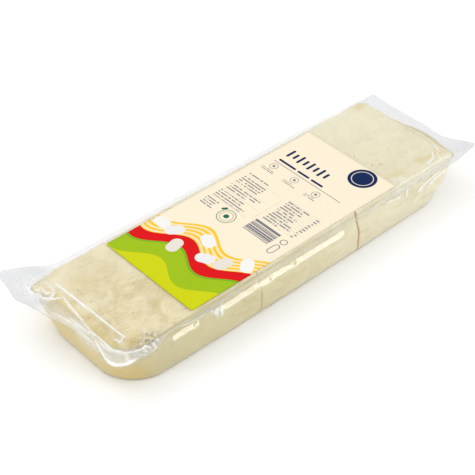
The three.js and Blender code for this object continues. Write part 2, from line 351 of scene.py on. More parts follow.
def pack_relief(x, y):
    """The uneven top that tofu and film share: pressing leaves it slightly hollow here and there,
    and the near left corner of the first block is knocked in and crumbled."""
    flat = np.stack([x, y, 0 * x], 1)
    uneven = 0.22 * ripples(flat, 34.0, 3) + 0.10 * ripples(flat, 13.0, 4)
    knocked = hump(x, y, KNOCKED_CORNER, 8)
    crumbs = knocked * (0.75 * ripples(flat, 4.2, 5) - 1.2)
    return uneven - TOP_HOLLOW + crumbs


def coons_patch(ring, side_count, end_count):
    """Fills a closed ring of points with a grid. The ring starts in the middle of its near left
    corner and runs anticlockwise, with side_count steps along each side and end_count along each
    end. Each inside point blends the four edges."""
    near = ring[: side_count + 1]
    right = ring[side_count : side_count + end_count + 1]
    far = ring[side_count + end_count : 2 * side_count + end_count + 1][::-1]
    left = np.concatenate([ring[2 * side_count + end_count :], ring[:1]])[::-1]
    u = np.linspace(0, 1, side_count + 1)[:, None, None]
    v = np.linspace(0, 1, end_count + 1)[None, :, None]
    edges = (1 - v) * near[:, None] + v * far[:, None] + (1 - u) * left[None] + u * right[None]
    corners = (1 - u) * ((1 - v) * near[0] + v * far[0]) + u * ((1 - v) * near[-1] + v * far[-1])
    return edges - corners


def close_form(rings, side_count, end_count):
    """Vertices and faces of a closed form from a stack of rings, lowest first: quads between the
    rings, one flat face under the first and a grid patch over the last."""
    rings = np.asarray(rings)
    levels, total = rings.shape[:2]
    here = np.arange(total)
    after = (here + 1) % total
    low = (np.arange(levels - 1) * total)[:, None]
    walls = np.stack([low + here, low + after, low + total + after, low + total + here], -1)
    patch = coons_patch(rings[-1], side_count, end_count)
    inside = patch[1:-1, 1:-1].reshape(-1, 3)
    index = np.zeros((side_count + 1, end_count + 1), int)
    index[1:-1, 1:-1] = levels * total + np.arange(len(inside)).reshape(side_count - 1, end_count - 1)
    last = (levels - 1) * total
    index[:, 0] = last + np.arange(side_count + 1)
    index[-1, :] = last + side_count + np.arange(end_count + 1)
    index[:, -1] = last + 2 * side_count + end_count - np.arange(side_count + 1)
    index[0, :] = last + (total - np.arange(end_count + 1)) % total
    cap = np.stack([index[:-1, :-1], index[1:, :-1], index[1:, 1:], index[:-1, 1:]], -1)
    vertices = np.concatenate([rings.reshape(-1, 3), inside])
    quads = np.concatenate([walls.reshape(-1, 4), cap.reshape(-1, 4)])
    return vertices, quads, here[::-1]


def vertex_normals(vertices, quads):
    """Unit normals at the vertices, as the mean of the quads that meet there."""
    a, b, c, d = (vertices[quads[:, k]] for k in range(4))
    flat = np.cross(c - a, d - b)
    total = np.zeros_like(vertices)
    for k in range(4):
        for axis in range(3):
            total[:, axis] += np.bincount(quads[:, k], flat[:, axis], len(vertices))
    return total / np.maximum(np.linalg.norm(total, axis=1), 1e-9)[:, None]


def add_piece(name, vertices, quads, material, base=(), masks=None):
    """Writes a mesh in metres with smooth faces: its quads and, where it has one, the many-sided
    face under its first ring. Each named mask holds one number for each vertex."""
    mesh = bpy.data.meshes.new(name)
    loops = np.concatenate([quads.ravel(), base]).astype(np.int32)
    starts = np.arange(len(quads) + bool(len(base)), dtype=np.int32) * 4
    mesh.vertices.add(len(vertices))
    mesh.vertices.foreach_set("co", (vertices * MM).astype(np.float32).ravel())
    mesh.loops.add(len(loops))
    mesh.loops.foreach_set("vertex_index", loops)
    mesh.polygons.add(len(starts))
    mesh.polygons.foreach_set("loop_start", starts)
    mesh.polygons.foreach_set("use_smooth", np.ones(len(starts), bool))
    mesh.update(calc_edges=True)
    mesh.validate()
    for mask, values in (masks or {}).items():
        layer = mesh.attributes.new(mask, "FLOAT", "POINT")
        layer.data.foreach_set("value", np.asarray(values, np.float32))
    mesh.materials.append(material)
    piece = bpy.data.objects.new(name, mesh)
    bpy.context.scene.collection.objects.link(piece)
    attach(piece, "root")
    return piece


# Tofu: pressed bean curd, cut in three blocks that lie end to end. The cut faces are flat and
# smooth with fine pores, the pressed top is softly marbled, and a little whey stains the edges.
def colour(red, green, blue):
    """A linear colour from sRGB values of 0 to 255."""
    channels = [c / 255 for c in (red, green, blue)]
    linear = [c / 12.92 if c <= 0.04045 else ((c + 0.055) / 1.055) ** 2.4 for c in channels]
    return (*linear, 1.0)


TOFU_GAP = 0.35  # between the tofu and its film
BLOCK_GAP = 0.04  # between two blocks
BLOCK_GRID = 0.85
CORNER_MARGIN = 9.0  # a block's outline starts this far outside it, and is moved onto the wall
TOFU_WALL_HEIGHT = 31.0
# the gold of whey stains, which also paints the shade low on the left end
WHEY_AND_SHADE_GOLD = colour(214, 188, 100)
STAIN_BROWN = colour(168, 126, 70)
# painted shade: the olive between the crumbs and low on the walls at the left
SHADE_OLIVE = colour(134, 120, 76)
WHEY_SMEARS = [  # golden stains on the top: from, to, half the width and the strength
    ((98.0, -34.3), (111.4, -36.8), 3.4, 0.34),
    ((132.6, -36.4), (151.9, -39.0), 3.6, 0.45),
    ((147.0, 41.0), (153.0, 43.0), 4.0, 0.4),
    ((-42.0, 47.5), (-41.0, 47.5), 2.0, 0.6),
    ((53.0, 46.5), (54.5, 46.5), 2.2, 0.8),
    ((-140.0, 30.0), (-134.0, 26.0), 5.0, 0.25),
    ((160.0, 14.0), (162.0, -36.0), 3.0, 0.62),
    ((-146.0, -40.0), (-143.0, -39.0), 4.0, 0.8),
]
BROWN_SPECKS = [  # the place and half the width
    ((107.5, -20.1), 1.0),
    ((102.1, -16.5), 0.9),
    ((-152.9, -3.7), 0.9),
    ((-143.0, 6.4), 0.6),
    ((-129.0, -20.5), 0.6),
    ((-115.0, -45.8), 0.7),
]
SEAM_STAINS = ((20.0, 0.5), (60.0, 0.8))  # for each seam: up to what height, and how strong
BROWN_PATCH = ((-147.5, -43.0), 4.0)  # the place and the reach, as for the next two
CRUMBS = ((-136.5, -47.0), 7.5)
# painted light: a spot behind the fold along the left end where the sides' painted shade is lifted
SHADE_LIFT_SPOT = ((-158.0, 17.0), 15.0)  # behind the fold along the left end
RAISED_TIP = (-166.0, 47.0)  # the far left corner, which the film draws up
TIP_RISE = 3.2


def ramp(tree, value, low, high, start=0.0, end=1.0):
    """Carries value from the range low..high smoothly to start..end, held at both ends."""
    made = add_node(
        tree,
        "ShaderNodeMapRange",
        {"Value": value, "From Min": low, "From Max": high, "To Min": start, "To Max": end},
        interpolation_type="SMOOTHSTEP",
    )
    return made.outputs[0]


def near_segment(x, y, start, stop):
    """The distance in plan of each point from the straight line between two places."""
    (ax, ay), (bx, by) = start, stop
    dx, dy = bx - ax, by - ay
    t = np.clip(((x - ax) * dx + (y - ay) * dy) / (dx * dx + dy * dy), 0, 1)
    return np.hypot(x - ax - t * dx, y - ay - t * dy)


def block_rings(left, right):
    """The rings of one block from its base up: the rounded base edge, the wall and the shoulder,
    held back from the film by the gap, and cut plumb at its seams."""
    start = -TRAY_LENGTH / 2 if left is None else left + BLOCK_GAP / 2
    stop = TRAY_LENGTH / 2 if right is None else right - BLOCK_GAP / 2
    side_count = int(round((stop - start + 2 * CORNER_MARGIN) / BLOCK_GRID))
    end_count = int(round((TRAY_WIDTH + 2 * CORNER_MARGIN) / BLOCK_GRID))
    x = np.linspace(start - CORNER_MARGIN, stop + CORNER_MARGIN, side_count + 1)
    reach = TRAY_WIDTH / 2 + CORNER_MARGIN
    y = np.linspace(-reach, reach, end_count + 1)
    outline = np.concatenate([
        np.stack([x[:-1], np.full(side_count, y[0])], 1),
        np.stack([np.full(end_count, x[-1]), y[:-1]], 1),
        np.stack([x[:0:-1], np.full(side_count, y[-1])], 1),
        np.stack([np.full(end_count, x[0]), y[:0:-1]], 1),
    ])

    def end_cut(seam, place, inward):
        """The place and the rounding of a cut end, or None at an end of the pack."""
        if seam is None:
            return None
        rounding = CUT_RADII[seams.index(seam)]
        return place + inward * rounding, rounding

    def cuts(share):
        """Both cut ends, moved in by that share of their rounding."""
        return end_cut(left, start, share), end_cut(right, stop, -share)

    rings = []

    def keep(plan, z):
        """Keeps a ring: its plan and its height or heights."""
        rings.append(np.column_stack([plan, np.full(len(plan), z)]))

    for angle in np.linspace(0, math.pi / 2, 5):
        rounding = 1 - math.sin(angle)
        plan = wall_plan(outline, 0.0, TOFU_GAP + BASE_EDGE_INSET * rounding, cuts(rounding))
        keep(plan, TOFU_GAP + (BASE_EDGE_HEIGHT - TOFU_GAP) * (1 - math.cos(angle)))
    for t in np.linspace(0, 1, 25)[1:]:
        plan = wall_plan(outline, t, TOFU_GAP, cuts(0))
        keep(plan, BASE_EDGE_HEIGHT + (TOFU_WALL_HEIGHT - BASE_EDGE_HEIGHT) * t)
    root = wall_plan(outline, 1.0, TOFU_GAP, cuts(0))
    edge = top_plan(outline, TOFU_GAP, cuts(1.0))
    height = PACK_HEIGHT - TOFU_GAP
    for plan, z in list(shoulder_rings(root, edge, TOFU_WALL_HEIGHT, height, 6, 3))[1:]:
        keep(plan, z)
    return rings, side_count, end_count


def times(tree, first, second):
    """The product of two values."""
    return maths(tree, "MULTIPLY", first, second)


def painted(tree, name):
    """The value that a mesh holds under that name at its vertices."""
    return add_node(tree, "ShaderNodeAttribute", attribute_name=name).outputs["Fac"]


def tofu_material():
    """Cream curd: clouds and short fibres that run along the pack from the pressing cloth, pores
    and sparse brown specks. Its sides are veined and carry painted shade, darkest at the left,
    it is paler towards the right and the far side, and the masks add whey with painted shade,
    brown stains and painted shade between the crumbs."""
    material, tree = new_material("pressed_tofu")
    place = add_node(tree, "ShaderNodeTexCoord").outputs["Object"]
    lengthwise, crosswise = add_node(tree, "ShaderNodeSeparateXYZ", {0: place}).outputs[:2]
    side = painted(tree, "side")

    def drawn_out(turn, share):
        """The place with its length scaled down to that share, which draws a pattern out along
        the pack, and then turned, so that no two patterns line up."""
        inputs = {"Vector": place, "Rotation": (0, 0, turn), "Scale": (share, 1.0, 1.0)}
        return add_node(tree, "ShaderNodeMapping", inputs).outputs[0]

    along = drawn_out(-0.3, 0.75)
    fibres_along = drawn_out(-0.5, 0.4)
    drift = ramp(tree, lengthwise, -0.13, 0.13)
    far_side = ramp(tree, crosswise, -0.02, 0.05)
    clouds = ramp(tree, noise(tree, along, 48.0, 6.0, 0.62, 1.2), 0.36, 0.64)
    patches = ramp(tree, noise(tree, along, 27.0, 4.0, 0.6, 1.6), 0.5, 0.7)
    fibres = ramp(tree, noise(tree, fibres_along, 230.0, 5.0, 0.7, 1.0), 0.38, 0.62)
    streaks = ramp(tree, noise(tree, fibres_along, 520.0, 3.0, 0.6, 0.8), 0.54, 0.72)
    veins = ramp(tree, noise(tree, fibres_along, 105.0, 5.0, 0.68, 1.6), 0.5, 0.66)
    pores = add_node(tree, "ShaderNodeTexVoronoi", {"Vector": place, "Scale": 480.0}, feature="F1")
    chosen = ramp(tree, noise(tree, place, 210.0, 1.0), 0.5, 0.7)
    pore = times(tree, ramp(tree, pores.outputs["Distance"], 0.12, 0.3, 1.0, 0.0), chosen)
    cells = add_node(tree, "ShaderNodeTexVoronoi", {"Vector": place, "Scale": 190.0}, feature="F1")
    chance = add_node(tree, "ShaderNodeSeparateColor", {0: cells.outputs["Color"]}).outputs[0]
    dot = ramp(tree, cells.outputs["Distance"], 0.08, 0.18, 1.0, 0.0)
    speck = times(tree, dot, ramp(tree, chance, 0.82, 0.87))
    pale = maths(tree, "MULTIPLY_ADD", far_side, 0.4, times(tree, patches, 0.5))
    # painted shade: the sides are darker, most at the left end, where less light falls on them
    painted_side_shade = times(tree, side, maths(tree, "MULTIPLY_ADD", drift, -0.7, 0.8))
    layers = [  # each goes over those before it: its mask, its strength and its colour
        (pale, 1.0, colour(238, 231, 206)),
        (fibres, 0.34, colour(236, 227, 196)),
        (streaks, 0.24, colour(198, 178, 124)),
        (drift, 0.55, colour(234, 231, 207)),
        (painted_side_shade, 1.0, colour(200, 190, 140)),
        (times(tree, veins, side), 0.36, colour(184, 168, 112)),
        (painted(tree, "whey_and_shade"), 0.85, WHEY_AND_SHADE_GOLD),
        (pore, 0.42, colour(164, 142, 90)),
        (speck, 0.6, colour(160, 124, 74)),
        (painted(tree, "brown"), 1.0, STAIN_BROWN),
        (painted(tree, "painted_shade"), 1.0, SHADE_OLIVE),
    ]
    tone = blend_colour(tree, clouds, colour(205, 188, 134), colour(227, 215, 172))
    for mask, strength, shade in layers:
        tone = blend_colour(tree, times(tree, mask, strength), tone, shade)
    grain = noise(tree, place, 700.0, 4.0, 0.6)
    relief = maths(tree, "MULTIPLY_ADD", grain, 0.4, times(tree, fibres, 0.6))
    height = maths(tree, "SUBTRACT", relief, pore)
    bump = add_node(tree, "ShaderNodeBump", {"Height": height, "Strength": 0.32, "Distance": 0.0004})
    inputs = {
        "Base Color": tone,
        "Roughness": ramp(tree, grain, 0.3, 0.7, 0.45, 0.65),
        "Specular IOR Level": 0.25,
        "Normal": bump.outputs[0],
    }
    return finish_material(material, inputs)


def tofu_masks(x, y, z, upright, crumbs):
    """The masks of the tofu's material. Whey gathers on the left end's upper edge, beside the seams
    and in the smears, and low on the left end the whey mask is painted shade as well. side is 1
    where the surface is upright, but little in a spot of painted light behind the fold along the
    left end. Brown is in the seams and the specks. The crumbs' mask is painted shade between the
    crumbs, and a little of it lies on the walls at the left as painted shade."""
    level = 1 - upright
    shade_lift = hump(x, y, *SHADE_LIFT_SPOT) * smooth_step((z - 18) / 8)
    # partly painted shade: whey low on the left end, deepest at the foot, where shade falls in the corner
    whey_and_shade = smooth_step((-122 - x) / 30) * upright * (0.66 - 0.55 * smooth_step((z - 6) / 22))
    whey_and_shade += 0.5 * hump(x, z, (-150, 9), 9) * upright
    whey_and_shade += 0.5 * smooth_step((-150.5 - x) / 5) * smooth_step((z - 25) / 5)
    # whey is kept off the far left tip, and a little off the spot of painted light
    whey_and_shade *= 1 - np.maximum(0.8 * hump(x, y, (-165, 47), 11), 0.1 * shade_lift)
    brown = np.zeros(len(x))
    for seam, (top, strength) in zip(seams, SEAM_STAINS):
        below = smooth_step((top - z) / 6 + 0.5) * upright
        brown += strength * smooth_step((0.9 - np.abs(x - seam)) / 0.5) * below
        whey_and_shade += 0.3 * np.exp(-(((x - seam) / 2.2) ** 2)) * below
    for start, stop, half_width, strength in WHEY_SMEARS:
        spread = near_segment(x, y, start, stop) / half_width
        whey_and_shade = np.maximum(whey_and_shade, strength * np.exp(-(spread**2)) * level)
    for place, half_width in BROWN_SPECKS:
        brown = np.maximum(brown, 0.6 * hump(x, y, place, half_width) * level)
    brown = np.maximum(brown, 0.4 * hump(x, y, *BROWN_PATCH) * level)
    # painted shade in the hollows between the crumbs
    painted_shade = hump(x, y, *CRUMBS) * smooth_step(0.55 + 1.1 * crumbs) * smooth_step((z - 27) / 3)
    # painted shade on the walls at the left, deepest towards the near side
    painted_shade += 0.17 * smooth_step((-95 - x) / 35) * upright * (0.6 + 0.4 * smooth_step(-y / 30))
    # painted light: the spot takes most of the sides' painted shade away
    side = upright * (1 - 0.9 * shade_lift)
    masks = {"whey_and_shade": whey_and_shade, "side": side, "brown": brown, "painted_shade": 0.9 * painted_shade}
    return {mask: np.clip(values, 0, 1) for mask, values in masks.items()}


def tofu_block(name, left, right, material):
    """One block: its rings and cap, moved along their normals by the unevenness of curd. Then the
    top settles as the film's does, its far left tip is drawn up, and the sides are dented at the
    seams."""
    rings, side_count, end_count = block_rings(left, right)
    vertices, quads, base = close_form(rings, side_count, end_count)
    x, y, z = vertices.T.copy()
    normal = vertex_normals(vertices, quads)
    upright = smooth_step((0.75 - normal[:, 2]) / 0.5)
    raised = smooth_step((z - BASE_EDGE_HEIGHT) / 6)
    lumps = 0.05 * ripples(vertices, 9.0, 11) + 0.03 * ripples(vertices, 4.0, 12) - 0.06
    vertices = vertices + normal * (lumps * raised)[:, None]
    vertices[:, 2] += pack_relief(x, y) * smooth_step((z - 20) / 14)
    vertices[:, 2] += TIP_RISE * hump(x, y, RAISED_TIP, 9) * smooth_step((z - 18) / 12)
    dent = seam_dent(x) * smooth_step((np.abs(y) - 44) / 4) * raised
    vertices[:, 1] -= np.sign(y) * dent * 0.8
    masks = tofu_masks(x, y, z, upright, ripples(vertices, 2.4, 15))
    piece = add_piece(name, vertices, quads, material, base, masks)
    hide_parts("film_pack")


pressed_tofu = tofu_material()
tofu_block("tofu_left", None, seams[0], pressed_tofu)
tofu_block("tofu_middle", seams[0], seams[1], pressed_tofu)
tofu_block("tofu_right", seams[1], None, pressed_tofu)


# Film: a formed tray film and a flat lid film, sealed to each other all round in a thin rim and
# trimmed with four loose ears. Vacuum has drawn both tight round the tofu; where the film bridges
# an edge it stands up in creases, and the sealed strip is a little milky.
RIM_FILM = 0.25  # the two films together
RIM_ROOT_INSET = 6.0
RIM_NEAR_SIDE = (-53.5, -53.5)
RIM_FAR_SIDE = (55.0, 51.5)
RIM_FLARE_LENGTH = 34.0
RIM_END_WAIST = 3.5
EARS = {  # the place in plan, the rounding, the lift and how far the lift reaches
    "near left": ((-171, -54.5), 12, 1, 15),
    "near right": ((174, -55), 3, 6, 15),
    "far right": ((176, 53), 3, -3.5, 30),
    "far left": ((-180, 60.5), 3, 13, 18),
}
WAVES = [  # the place, the lift and the reach
    ((-171, -29), 12, 14),
    ((-181, 44), -6, 9),
    ((-155, 58), 6, 14),
    ((-61, -53.5), 3, 70),
    ((69, -53.5), 3, 70),
    ((-138, -54), -2.5, 11),
]
TRIMS = [  # where the trimmed edge is off its line: the place, the move in plan and the reach
    ((-178, 43), (-1.6, 2.0), 4),
    ((-172, 24), (1.1, 0.0), 24),
    ((-170, -2), (3.8, 0.0), 12),
    ((-169, -22), (3.2, 0.0), 12),
    ((-143, -54), (0.0, -0.6), 8),
    ((-122, -53.5), (0.0, 4.0), 11),
]
HAZE_GREY = colour(194, 199, 204)
# the white of milky film and of the painted highlights
MILK_AND_HIGHLIGHT_WHITE = colour(250, 250, 246)
EAR_STEPS = 8
END_STEPS = 120
COARSE_STEP = 1.8
CLOSE_STEP = 0.95
COARSE_REACH = 98  # either way from the pack's middle
CLOSE_REACH = (-168, 172)
SEAM_REACH = 3  # either way from a seam
LABEL_MARGIN = 2.0  # the label holds the film flat this far beyond its edges
label_low, label_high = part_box("label")


def side_stations(start, stop):
    """Places along a long side: close steps near the ends and at the seams, wide ones between.
    They are then stretched evenly to fit between start and stop."""
    coarse = np.arange(-COARSE_REACH, COARSE_REACH + 1, COARSE_STEP)
    coarse = coarse[np.min(np.abs(coarse[:, None] - np.array(seams)), axis=1) > SEAM_REACH + 1]
    at_left = np.arange(CLOSE_REACH[0], -COARSE_REACH, CLOSE_STEP)
    at_right = np.arange(COARSE_REACH + 1, CLOSE_REACH[1], CLOSE_STEP)
    at_seams = [s + np.linspace(-SEAM_REACH, SEAM_REACH, 9) for s in seams]
    inner = np.sort(np.concatenate([coarse, at_left, at_right, *at_seams]))
    low, high = min(start, stop), max(start, stop)
    fraction = (inner - inner[0] + CLOSE_STEP) / (inner[-1] - inner[0] + 2 * CLOSE_STEP)
    placed = low + (high - low) * fraction
    return placed if start < stop else placed[::-1]


def rim_outline():
    """The trimmed edge in plan, anticlockwise from the middle of the near left ear: round tips,
    end strips drawn in between the ears, and long sides that narrow to a thin strip."""
    near_left, near_right, far_right, far_left = EARS.values()

    def drawn_in(value, radius):
        """A tip's coordinate, brought in to the centre of its round corner."""
        return value - math.copysign(radius, value)

    def arc(ear, start):
        """The quarter circle round an ear's tip, from the angle start."""
        (x, y), radius = ear[:2]
        turn = start + np.linspace(0, math.pi / 2, EAR_STEPS + 1)
        centre = np.array([drawn_in(x, radius), drawn_in(y, radius)])
        return centre + radius * np.stack([np.cos(turn), np.sin(turn)], 1)

    def side(ear, next_ear, strip):
        """A long side: the straight line of its strip, which flares smoothly to both ears."""
        start = drawn_in(ear[0][0], ear[1])
        stop = drawn_in(next_ear[0][0], next_ear[1])
        x = side_stations(start, stop)
        share = (x - near_left[0][0]) / (near_right[0][0] - near_left[0][0])
        middle = strip[0] + (strip[1] - strip[0]) * share
        from_flare = 1 - smooth_step(np.abs(x - start) / RIM_FLARE_LENGTH)
        to_flare = 1 - smooth_step(np.abs(stop - x) / RIM_FLARE_LENGTH)
        y = middle + (ear[0][1] - middle) * from_flare + (next_ear[0][1] - middle) * to_flare
        return np.stack([x, y], 1)

    def end(ear, next_ear):
        """An end strip: straight from ear to ear, and drawn in by half a sine wave."""
        start = drawn_in(ear[0][1], ear[1])
        stop = drawn_in(next_ear[0][1], next_ear[1])
        t = np.arange(1, END_STEPS) / END_STEPS
        straight = ear[0][0] + (next_ear[0][0] - ear[0][0]) * t
        x = straight - np.sign(straight) * RIM_END_WAIST * np.sin(math.pi * t)
        return np.stack([x, start + (stop - start) * t], 1)

    near_side = side(near_left, near_right, RIM_NEAR_SIDE)
    starts = zip(EARS.values(), (math.pi, -math.pi / 2, 0, math.pi / 2))
    tips = [arc(ear, start) for ear, start in starts]
    half = EAR_STEPS // 2
    outline = np.concatenate([
        tips[0][half:],
        near_side,
        tips[1],
        end(near_right, far_right),
        tips[2],
        side(far_right, far_left, RIM_FAR_SIDE),
        tips[3],
        end(far_left, near_left),
        tips[0][:half],
    ])
    x, y = outline.T
    outline = outline + sum(hump(x, y, place, reach)[:, None] * move for place, move, reach in TRIMS)
    return outline, EAR_STEPS + len(near_side) + 1, EAR_STEPS + END_STEPS


def rim_lift(plan):
    """How far the trimmed edge stands over the rim's level: each ear and wave is a round hump."""
    humps = [(place, lift, reach) for place, _, lift, reach in EARS.values()] + WAVES
    return sum(lift * hump(plan[:, 0], plan[:, 1], place, reach) for place, lift, reach in humps)


def film_rings(outline):
    """The rings of the closed bag from the base up and out along the tray film, round the trimmed
    edge and back in along the lid film to the flat top, and the share of the rim's width and the
    side of the film (0 tray, 1 lid) of each ring."""
    lift = rim_lift(outline)
    core = np.stack([
        np.clip(outline[:, 0], BASE_RADIUS - TRAY_LENGTH / 2, TRAY_LENGTH / 2 - BASE_RADIUS),
        np.clip(outline[:, 1], BASE_RADIUS - TRAY_WIDTH / 2, TRAY_WIDTH / 2 - BASE_RADIUS),
    ], 1)
    reach = np.linalg.norm(outline - core, axis=1)
    root_reach = BASE_RADIUS - RIM_ROOT_INSET
    neck = wall_plan(outline, 1.0)
    neck_part = (np.linalg.norm(neck - core, axis=1) - root_reach) / (reach - root_reach)
    neck_height = RIM_HEIGHT + lift * neck_part**2
    rings, shares, lids = [], [], []

    def keep(plan, z, share, lid):
        """Keeps a ring: its plan, its height or heights, its share and its side."""
        rings.append(np.column_stack([plan, np.broadcast_to(z, len(plan))]))
        shares.append(np.full(len(plan), share))
        lids.append(np.full(len(plan), lid))

    for angle in np.linspace(0, math.pi / 2, 4):
        inset = BASE_EDGE_INSET * (1 - math.sin(angle))
        keep(wall_plan(outline, 0.0, inset), BASE_EDGE_HEIGHT * (1 - math.cos(angle)), 0.0, 0.0)
    for t in np.concatenate([np.linspace(0, 0.66, 6)[1:], np.linspace(0.66, 1, 21)[1:]]):
        z = BASE_EDGE_HEIGHT + (neck_height - RIM_FILM - BASE_EDGE_HEIGHT) * t
        keep(wall_plan(outline, t), z, 0.0, 0.0)
    for s in np.linspace(0, 1, 9)[1:]:
        part = neck_part + (1 - neck_part) * s
        drop = RIM_FILM * (1 if s < 1 else 0.6)
        keep(neck + (outline - neck) * s, RIM_HEIGHT + lift * part**2 - drop, s, 0.0)
    for s in np.linspace(1, 0, 21)[:-1]:
        part = neck_part + (1 - neck_part) * s
        keep(neck + (outline - neck) * s, RIM_HEIGHT + lift * part**2, s, 1.0)
    for plan, z in shoulder_rings(neck, top_plan(outline), neck_height, PACK_HEIGHT, 8, 4):
        keep(plan, z, 0.0, 1.0)
    return rings, np.concatenate(shares), np.concatenate(lids)


# The creases that show most on the lid film: the points in plan, the height, half the width and
# the milk, which paints the crease's highlight white as well; where the height is 0 it is only
# a painted highlight.
LID_CREASES = [
    ([(-149.4, 36.6), (-149.0, 16.0), (-148.4, -5.0), (-147.7, -34.7)], 0.0, 0.85, 0.95),
    ([(-160, 29), (-153.5, 23), (-155, 14), (-157, -2)], 0.5, 0.9, 0.7),
    ([(-157, -2), (-159.4, -17), (-160.4, -31), (-160, -37)], 0.5, 0.8, 0.6),
    ([(-162, 41), (-164, 34), (-161, 29.5), (-155.5, 30.5), (-153.5, 35.5), (-154.7, 43)], 0.9, 1.3, 0.6),
    ([(-158.5, 39), (-159.0, 34.5), (-156.8, 33)], 0.6, 1.3, 0.7),
    ([(-167.0, 46.0), (-166.0, 41.0), (-168.5, 37.0)], 0.6, 1.2, 0.4),
    ([(-153.0, -31.6), (-152.2, -35.9), (-147.2, -33.5)], 0.7, 0.9, 0.8),
    ([(-160, -37.8), (-156.5, -42.5), (-155.5, -46.0), (-158.0, -52.0)], 0.9, 0.9, 0.7),
    ([(-155.5, -45.1), (-149.0, -48.0), (-141.0, -48.5)], 0.6, 0.9, 0.7),
    ([(101, -40), (106, -44)], 0.0, 3.5, 0.45),
    ([(156.0, 4.0), (158.0, -15.0), (155.7, -28.0), (151.0, -39.0)], 0.5, 0.9, 0.6),
    ([(144.4, -13.5), (133.0, -25.0), (123.1, -36.0)], 0.2, 2.2, 0.16),
    ([(146.5, -36.5), (142.5, -41.0), (134.0, -43.5)], 0.6, 1.3, 0.7),
    ([(149.0, -37.5), (146.0, -43.5), (145.0, -46.5)], 0.6, 1.0, 0.6),
    ([(158.0, -42.0), (151.0, -48.0), (136.0, -47.5), (84.0, -48.5)], 0.12, 1.6, 0.3),
]

# Those on the near wall: the points along the pack and up, the depth, half the width and the
# milk, which paints the crease's highlight white as well.
WALL_CREASES = [
    ([(124.0, 21.8), (147.5, 24.8)], 0.5, 0.6, 0.75),
    ([(117.5, 22.6), (141.5, 26.5)], 0.5, 0.65, 0.75),
    ([(104.5, 24.3), (106.5, 28.0)], 0.6, 1.1, 0.7),
    ([(83.5, 27.9), (97.9, 25.8)], 0.5, 0.8, 0.55),
    ([(64.0, 27.9), (73.5, 29.8)], 0.5, 0.9, 0.5),
    ([(-86.0, 28.5), (-82.0, 23.5), (-80.5, 27.0)], 0.5, 1.2, 0.8),
    ([(-76.5, 27.5), (-78.5, 22.0)], 0.5, 1.2, 0.8),
]


def crease_relief(a, b, creases):
    """Each crease is a ridge along its line: the height falls off as a bell curve across it. Gives
    the height and the milk, which is partly a painted highlight, at each place."""
    height = np.zeros(len(a))
    milk_and_highlight = np.zeros(len(a))
    for points, rise, half_width, haze in creases:
        nearest = np.full(len(a), 1e9)
        for start, stop in zip(points[:-1], points[1:]):
            nearest = np.minimum(nearest, near_segment(a, b, start, stop))
        ridge = np.exp(-((nearest / half_width) ** 2))
        height = np.maximum(height, rise * ridge)
        milk_and_highlight = np.maximum(milk_and_highlight, haze * ridge)
    return height, milk_and_highlight


def film_material():
    """Clear film as one surface: what it mirrors grows with the angle, as on any gloss, and the
    rest is seen through. Haze, where the seal holds it, takes a little light away and is grey.
    Milk is white and scatters: it is the film whitened where it is creased, and painted highlight
    along the creases, on the puckers and at the left end. Slack film is a little uneven, and where
    it turns down over the near edge its gloss is dull."""
    material, tree = new_material("clear_film")
    place = add_node(tree, "ShaderNodeTexCoord").outputs["Object"]
    cloudy = ramp(tree, noise(tree, place, 160.0, 3.0, 0.6), 0.3, 0.75, 0.7, 1.2)
    milk_and_highlight = maths(tree, "MULTIPLY", painted(tree, "milk_and_highlight"), cloudy, clamp=True)
    not_milk_or_highlight = maths(tree, "SUBTRACT", 1.0, milk_and_highlight)
    clear = times(tree, not_milk_or_highlight, maths(tree, "SUBTRACT", 1.0, painted(tree, "haze")))
    facing = add_node(tree, "ShaderNodeLayerWeight", {"Blend": 0.5}).outputs["Facing"]
    mirror = maths(tree, "MULTIPLY_ADD", maths(tree, "POWER", facing, 5.0), 0.92, 0.08)
    seen_through = times(tree, clear, maths(tree, "SUBTRACT", 1.0, mirror))
    alpha = maths(tree, "SUBTRACT", 1.0, seen_through)
    metal = maths(tree, "DIVIDE", mirror, alpha, clamp=True)
    whiteness = maths(tree, "DIVIDE", milk_and_highlight, maths(tree, "SUBTRACT", 1.001, clear), clamp=True)
    tone = blend_colour(tree, whiteness, HAZE_GREY, MILK_AND_HIGHLIGHT_WHITE)
    tone = blend_colour(tree, metal, tone, (1, 1, 1, 1))
    gloss = ramp(tree, milk_and_highlight, 0.0, 0.6, 0.08, 0.3)
    fine = times(tree, noise(tree, place, 230.0, 2.0, 0.5), painted(tree, "uneven"))
    bump = add_node(tree, "ShaderNodeBump", {"Height": fine, "Strength": 0.3, "Distance": 0.0004})
    inputs = {
        "Base Color": tone,
        "Metallic": metal,
        "Roughness": maths(tree, "MULTIPLY_ADD", painted(tree, "dull"), 0.32, gloss),
        "Alpha": alpha,
        "Normal": bump.outputs[0],
    }
    return finish_material(material, inputs)


def seal_haze(x, y, z, share, from_share, at_left):
    """Next to no haze in the tight film, and more in the sealed strip, in its ears and where the
    film bridges the right edge and the far one. from_share is where the seal starts, as a share
    of the rim's width, and it starts gently at the left end, where at_left is 1."""
    seal = smooth_step((share - from_share) / 0.08) * (1 - 0.8 * at_left)
    over_edge = np.maximum(smooth_step((x - 157.5) / 3), smooth_step((y - 46.5) / 3))
    over_edge = np.maximum(over_edge, hump(x, y, (-160, 52), 10))
    seal = np.maximum(seal, over_edge * smooth_step((z - 26) / 4))
    at_ends = 0.16 * smooth_step((-138 - x) / 16) + 0.10 * smooth_step((x - 138) / 16)
    at_sides = 0.09 - 0.06 * smooth_step((y - 40) / 8) * smooth_step((146 - np.abs(x)) / 12)
    # partly painted shade: the haze is raised round the near right ear, which darkens it
    return 0.02 + (at_sides + at_ends + 0.12 * hump(x, y, (172, -52), 16)) * seal


